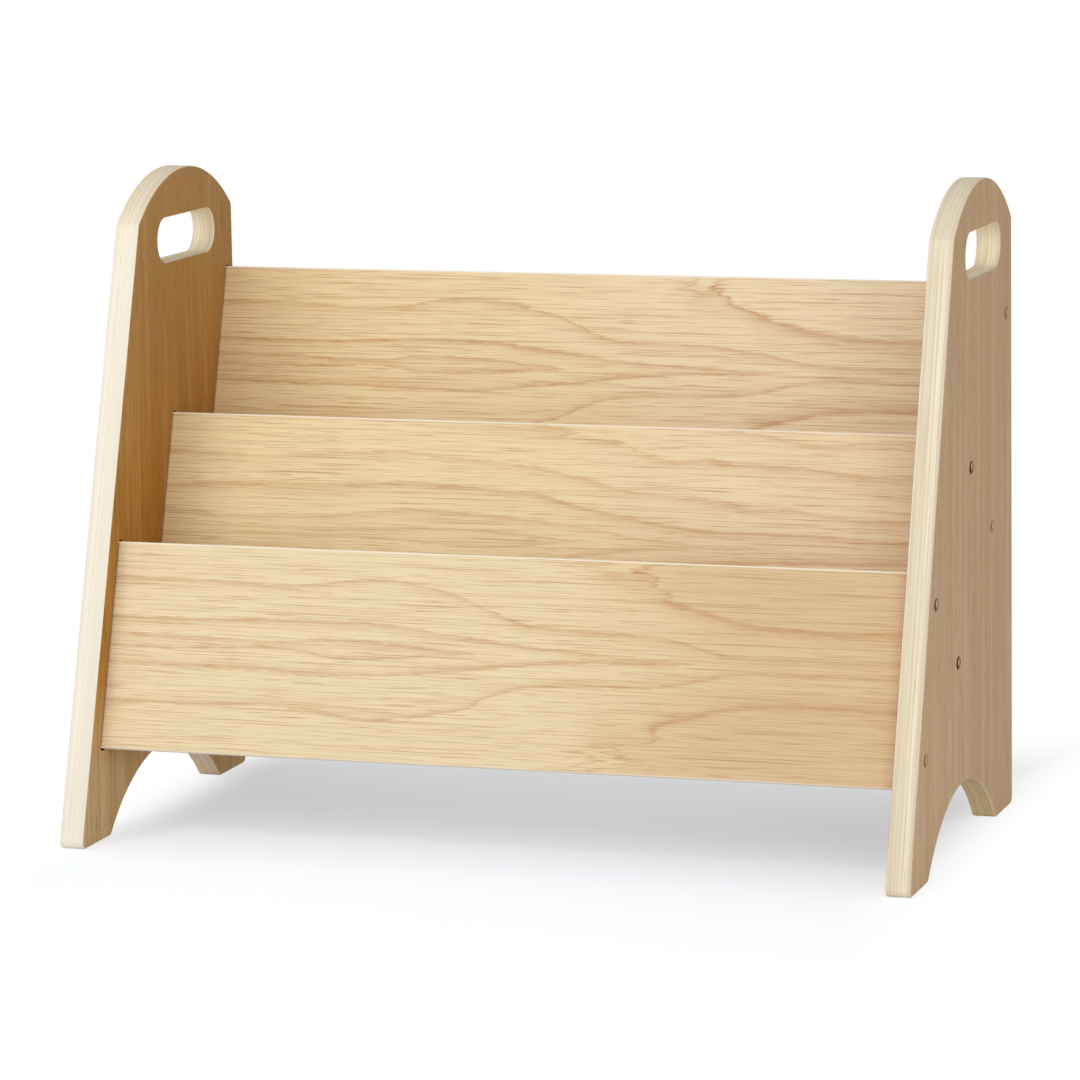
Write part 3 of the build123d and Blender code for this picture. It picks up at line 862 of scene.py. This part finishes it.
def recess_wings(tree, given):
    """The two crossing wings of the recess: narrower and shorter towards the bottom."""
    punch_length = add_node(tree, "ShaderNodeMath", {0: given["Recess depth"], 1: 2.0},
                            operation="MULTIPLY")
    punch = add_node(tree, "GeometryNodeMeshCone", {
        "Vertices": PUNCH_FACETS, "Radius Top": PUNCH_WIDE, "Radius Bottom": PUNCH_TIP,
        "Depth": punch_length})
    sunk = add_node(tree, "ShaderNodeMath", {0: given["Recess depth"], 1: -1.0},
                    operation="MULTIPLY")
    drop = add_node(tree, "ShaderNodeCombineXYZ", {"Z": sunk})
    for long_way, short_way in ("XY", "YX"):
        spread = add_node(tree, "ShaderNodeCombineXYZ", {
            long_way: given["Recess span"], short_way: given["Recess wing"], "Z": 1.0})
        yield add_node(tree, "GeometryNodeTransform", {
            "Geometry": punch, "Translation": drop, "Scale": spread})


def rolled_thread(tree, given):
    """The thread: a ridge wound on the core, running out at the shank and at the point."""
    threaded = add_node(tree, "ShaderNodeMath", {0: given["Length"], 1: given["Shank length"]},
                        operation="SUBTRACT")
    turns = add_node(tree, "ShaderNodeMath", {0: threaded, 1: given["Pitch"]},
                     operation="DIVIDE")
    ridge = add_node(tree, "ShaderNodeMath", {0: given["Thread radius"],
                                              1: given["Core radius"]}, operation="SUBTRACT")
    helix = add_node(tree, "GeometryNodeCurveSpiral", {
        "Resolution": THREAD_FACETS, "Rotations": turns, "Start Radius": given["Core radius"],
        "End Radius": given["Core radius"], "Height": threaded})
    point_down = add_node(tree, "ShaderNodeMath", {0: given["Length"], 1: -1.0},
                          operation="MULTIPLY")
    lowered = add_node(tree, "ShaderNodeCombineXYZ", {"Z": point_down})
    wound = add_node(tree, "GeometryNodeTransform", {"Geometry": helix, "Translation": lowered})

    # Where along the screw a piece of the thread lies sets how thick it is
    spot = add_node(tree, "GeometryNodeInputPosition")
    place = add_node(tree, "ShaderNodeSeparateXYZ", {"Vector": spot})
    from_point = add_node(tree, "ShaderNodeMath", {0: place.outputs["Z"], 1: given["Length"]},
                          operation="ADD")
    point_taper = add_node(tree, "ShaderNodeMapRange", {
        "Value": from_point, "From Min": 0.0, "From Max": given["Tip length"],
        "To Min": THREAD_START})
    below_shank = add_node(tree, "ShaderNodeMath", {0: threaded, 1: from_point},
                           operation="SUBTRACT")
    run_out = add_node(tree, "ShaderNodeMapRange", {
        "Value": below_shank, "From Min": 0.0, "From Max": given["Pitch"]})
    thickness = add_node(tree, "ShaderNodeMath", {0: point_taper, 1: run_out},
                         operation="MULTIPLY")
    narrowed = add_node(tree, "ShaderNodeCombineXYZ", {"X": point_taper, "Y": point_taper,
                                                       "Z": 1.0})
    pulled_in = add_node(tree, "ShaderNodeVectorMath", {0: spot, 1: narrowed},
                         operation="MULTIPLY")
    pointed = add_node(tree, "GeometryNodeSetPosition", {"Geometry": wound,
                                                         "Position": pulled_in})
    level = add_node(tree, "GeometryNodeSetCurveNormal", {"Curve": pointed}, mode="Z_UP")
    crest = add_node(tree, "GeometryNodeCurvePrimitiveCircle", {
        "Resolution": CREST_CORNERS, "Radius": ridge}, mode="RADIUS")
    return add_node(tree, "GeometryNodeCurveToMesh", {
        "Curve": level, "Profile Curve": crest, "Scale": thickness, "Fill Caps": True})


def countersunk_screws():
    """Geometry Nodes: a threaded screw with a cross recess at each point that comes in."""
    tree = bpy.data.node_groups.new("countersunk_screws", "GeometryNodeTree")
    wanted = [("Screw places", "Geometry"), *((size, "Float") for size in SCREW_SIZES),
              ("Seed", "Int"), ("Plating", "Material")]
    for socket, kind in wanted:
        tree.interface.new_socket(socket, in_out="INPUT", socket_type="NodeSocket" + kind)
    tree.interface.new_socket("Screws", in_out="OUTPUT", socket_type="NodeSocketGeometry")
    given = add_node(tree, "NodeGroupInput").outputs

    recessed = add_node(tree, "GeometryNodeMeshBoolean", {"Mesh 1": turned_blank(tree, given)},
                        operation="DIFFERENCE", solver="EXACT")
    for wing in recess_wings(tree, given):
        feed(tree, recessed, {"Mesh 2": wing})
    screw = add_node(tree, "GeometryNodeJoinGeometry")
    for part in (recessed, rolled_thread(tree, given)):
        feed(tree, screw, {"Geometry": part})
    rounded = add_node(tree, "GeometryNodeSetShadeSmooth", {"Geometry": screw,
                                                            "Shade Smooth": True})
    bend = add_node(tree, "GeometryNodeInputMeshEdgeAngle")
    sharp = add_node(tree, "ShaderNodeMath", {0: bend.outputs["Unsigned Angle"], 1: CREASE},
                     operation="GREATER_THAN")
    creased = add_node(tree, "GeometryNodeSetShadeSmooth", {
        "Geometry": rounded, "Selection": sharp, "Shade Smooth": False}, domain="EDGE")

    # Its material reads how far below the top of the head it is, and where that head is
    spot = add_node(tree, "GeometryNodeInputPosition")
    place = add_node(tree, "ShaderNodeSeparateXYZ", {"Vector": spot})
    below = add_node(tree, "ShaderNodeMath", {0: place.outputs["Z"], 1: -1.0},
                     operation="MULTIPLY")
    marked = add_node(tree, "GeometryNodeStoreNamedAttribute", {
        "Geometry": creased, "Name": "below_top", "Value": below}, data_type="FLOAT",
        domain="POINT")
    placed = add_node(tree, "GeometryNodeStoreNamedAttribute", {
        "Geometry": given["Screw places"], "Name": "head_middle", "Value": spot},
        data_type="FLOAT_VECTOR", domain="POINT")

    # Each screw faces out of its side and was stopped at an angle of its own
    facing = add_node(tree, "GeometryNodeInputNamedAttribute", {"Name": "head_faces"},
                      data_type="FLOAT_VECTOR")
    upright = add_node(tree, "FunctionNodeAlignRotationToVector", {"Vector": facing}, axis="Z")
    stopped_at = add_node(tree, "FunctionNodeRandomValue", {
        "Min": 0.0, "Max": pi / 2, "Seed": given["Seed"]}, data_type="FLOAT")
    turn = add_node(tree, "FunctionNodeAxisAngleToRotation", {
        "Axis": (0.0, 0.0, 1.0), "Angle": stopped_at})
    driven = add_node(tree, "FunctionNodeRotateRotation", {
        "Rotation": upright, "Rotate By": turn}, rotation_space="LOCAL")
    screws = add_node(tree, "GeometryNodeInstanceOnPoints", {
        "Points": placed, "Instance": marked, "Rotation": driven})
    plain = add_node(tree, "GeometryNodeRealizeInstances", {"Geometry": screws})
    plated = add_node(tree, "GeometryNodeSetMaterial", {"Geometry": plain,
                                                        "Material": given["Plating"]})
    add_node(tree, "NodeGroupOutput", {"Screws": plated})
    return tree


def drive_screws(plating):
    """The twelve screws as one piece, each where its CAD screw is."""
    heads = []
    for name in SCREWS:
        low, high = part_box(name)
        middle = (low + high) / 2
        out = 1.0 if middle.x > 0 else -1.0
        heads.append((Vector((high.x if out > 0 else low.x, middle.y, middle.z)), out))
    places = bpy.data.meshes.new("screw_places")
    places.from_pydata([head for head, out in heads], [], [])
    # One attribute is filled before the next is made, because that moves the first in memory
    faces = places.attributes.new("head_faces", "FLOAT_VECTOR", "POINT")
    for point, (head, out) in zip(faces.data, heads):
        point.vector = (out, 0.0, 0.0)
    # Each screw's strength of painted shadow on its head, the same as on the wood beside it
    shadow_strength = places.attributes.new("shadow_strength", "FLOAT", "POINT")
    for point, name in zip(shadow_strength.data, SCREWS):
        point.value = COUNTERSINK_SHADOW[name.replace("left", "right")]
    carrier = add_object("screw_places", places)
    drive = carrier.modifiers.new("drive_screws", "NODES")
    drive.node_group = countersunk_screws()
    values = {name: size * MM for name, size in SCREW_SIZES.items()}
    values.update({"Seed": SCREW_SEED, "Plating": plating})
    for socket in drive.node_group.interface.items_tree:
        if socket.name in values:
            drive[socket.identifier] = values[socket.name]
    depsgraph = bpy.context.evaluated_depsgraph_get()
    mesh = bpy.data.meshes.new_from_object(carrier.evaluated_get(depsgraph),
                                           depsgraph=depsgraph)
    mesh.name = "panel_screws"
    mesh.materials.clear()
    mesh.materials.append(plating)
    bpy.data.objects.remove(carrier)
    screws = add_object("panel_screws", mesh)
    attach(screws, "root")
    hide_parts(*SCREWS)


def dress(node, material):
    """Give a CAD node its finished material in every slot."""
    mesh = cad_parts[node].data
    mesh.materials.clear()
    mesh.materials.append(material)


# Each board's growth rings, the middle line of its log and, where they differ, its tones, its
# tints, and which way it lies. The middle and back boards are lightened towards their right ends
# with painted light, and their tints are painted warm light reflected from the sides.
BOARDS = {
    "front_panel": {"rings": LOG_HEART, "middle_line": 149.5},
    "middle_panel": {"rings": LOG_FLANK, "middle_line": 240.0, "tones": (0.0, -0.1),
                     "tints": ("#FFFBEC", "#FFFAF6")},
    "back_panel": {"rings": LOG_HEART, "middle_line": 375.5, "tones": (0.0, -0.25),
                   "tints": ("#FFF6E4", "#FFFCFB")},
    "front_floor": {"rings": LOG_FLANK, "middle_line": 30.0, "across": "Y", "through": "Z"},
    "rear_floor": {"rings": LOG_HEART, "middle_line": 140.0, "across": "Y", "through": "Z"},
}

for board, leaf in BOARDS.items():
    dress(board, oak_board(board, **leaf))
for nodes, material in ((SIDES, side_plywood()), (DOWELS, beech())):
    for node in nodes:
        dress(node, material)
drive_screws(yellow_zinc())


# Camera of the photograph: a long lens, a little above the holder and to its right
CAMERA_PLACE = (1.03197, -3.27373, 0.74372)
CAMERA_TURN_DEG = (81.7813, 0.6240, 17.4106)
CAMERA_LENS = 166.73
CAMERA_SHIFT_Y = -0.06032
CAMERA_REACH = 100.0
SENSOR_WIDTH = 36.0

# Studio light: an even dome, and two square softboxes with their places, sizes and powers
WHITE = (1.0, 1.0, 1.0, 1.0)
DOME_LEVEL = 0.44
SOFTBOX_AIM = Vector((0.0, 0.0, 0.2))
SOFTBOXES = {"key_softbox": ((-0.75, -1.55, 1.35), 1.2, 13.5),
             "fill_softbox": ((1.3, -2.6, 0.9), 1.5, 18.0)}

# Half the floor's width, its lift towards white, and how far out it fades to plain white
FLOOR_HALF = 15.0
FLOOR_LIFT = 0.4
FLOOR_FADE = {"X": (0.25, 0.325), "Y": (0.15, 0.42)}


def add_camera():
    """The photograph's camera."""
    data = bpy.data.cameras.new("photo_camera")
    data.sensor_width = SENSOR_WIDTH
    data.lens = CAMERA_LENS
    data.shift_y = CAMERA_SHIFT_Y
    data.clip_end = CAMERA_REACH
    camera = add_object("photo_camera", data)
    camera.location = CAMERA_PLACE
    camera.rotation_euler = Euler([radians(turn) for turn in CAMERA_TURN_DEG])
    bpy.context.scene.camera = camera


def add_softbox(name, place, size, power):
    """A square area lamp at place that faces the holder."""
    data = bpy.data.lights.new(name, "AREA")
    data.size = size
    data.energy = power
    lamp = add_object(name, data)
    lamp.location = place
    lamp.rotation_euler = (SOFTBOX_AIM - Vector(place)).to_track_quat("-Z", "Y").to_euler()


def seen_directly(tree):
    """1 for rays that show the background: straight from the camera, mirrored or through."""
    path = add_node(tree, "ShaderNodeLightPath").outputs
    either = add_node(tree, "ShaderNodeMath", {0: path["Is Camera Ray"],
                                               1: path["Is Glossy Ray"]},
                      operation="MAXIMUM")
    return add_node(tree, "ShaderNodeMath", {0: either, 1: path["Is Transmission Ray"]},
                    operation="MAXIMUM")


def add_world():
    """An even studio dome that the camera sees as white."""
    world = bpy.data.worlds.new("studio_dome")
    bpy.context.scene.world = world
    tree = cleared_tree(world)
    dome = add_node(tree, "ShaderNodeBackground", {"Color": WHITE, "Strength": DOME_LEVEL})
    white = add_node(tree, "ShaderNodeBackground", {"Color": WHITE, "Strength": 1.0})
    mixed = add_node(tree, "ShaderNodeMixShader", {0: seen_directly(tree), 1: dome, 2: white})
    add_node(tree, "ShaderNodeOutputWorld", {"Surface": mixed})


def white_floor():
    """The floor's material: pale, and fading to plain white away from the holder."""
    # Matt white paint. The eye sees only the holder's soft shadow on it, because for rays that
    # show the background it is lifted towards white.
    material = bpy.data.materials.new("matt_white_floor")
    tree = cleared_tree(material)
    paint = add_node(tree, "ShaderNodeBsdfDiffuse", {"Color": linear("#F1F1F1")})
    lift = add_node(tree, "ShaderNodeEmission", {"Color": linear("#E6F2FF"),
                                                 "Strength": FLOOR_LIFT})
    lifted = add_node(tree, "ShaderNodeAddShader", {0: paint, 1: lift})
    coords = add_node(tree, "ShaderNodeTexCoord")
    folded = add_node(tree, "ShaderNodeVectorMath", {0: coords.outputs["Object"]},
                      operation="ABSOLUTE")
    reach = add_node(tree, "ShaderNodeSeparateXYZ", {"Vector": folded}).outputs
    fades = [add_node(tree, "ShaderNodeMapRange", {
        "Value": reach[axis], "From Min": near, "From Max": far},
        interpolation_type="SMOOTHSTEP") for axis, (near, far) in FLOOR_FADE.items()]
    fade = add_node(tree, "ShaderNodeMath", {0: fades[0], 1: fades[1]}, operation="MAXIMUM")
    white = add_node(tree, "ShaderNodeEmission", {"Color": WHITE, "Strength": 1.0})
    backdrop = add_node(tree, "ShaderNodeMixShader", {0: fade, 1: lifted, 2: white})
    mixed = add_node(tree, "ShaderNodeMixShader", {0: seen_directly(tree), 1: paint,
                                                   2: backdrop})
    add_node(tree, "ShaderNodeOutputMaterial", {"Surface": mixed})
    return material


def add_floor(half):
    """A wide pale floor under the holder."""
    mesh = bpy.data.meshes.new("studio_floor")
    corners = [(-half, -half, 0), (half, -half, 0), (half, half, 0), (-half, half, 0)]
    mesh.from_pydata(corners, [], [(0, 1, 2, 3)])
    mesh.materials.append(white_floor())
    floor = add_object("studio_floor", mesh)


bpy.context.scene.view_settings.view_transform = "Standard"
add_camera()
add_world()
for softbox, (place, size, power) in SOFTBOXES.items():
    add_softbox(softbox, place, size, power)
add_floor(FLOOR_HALF)
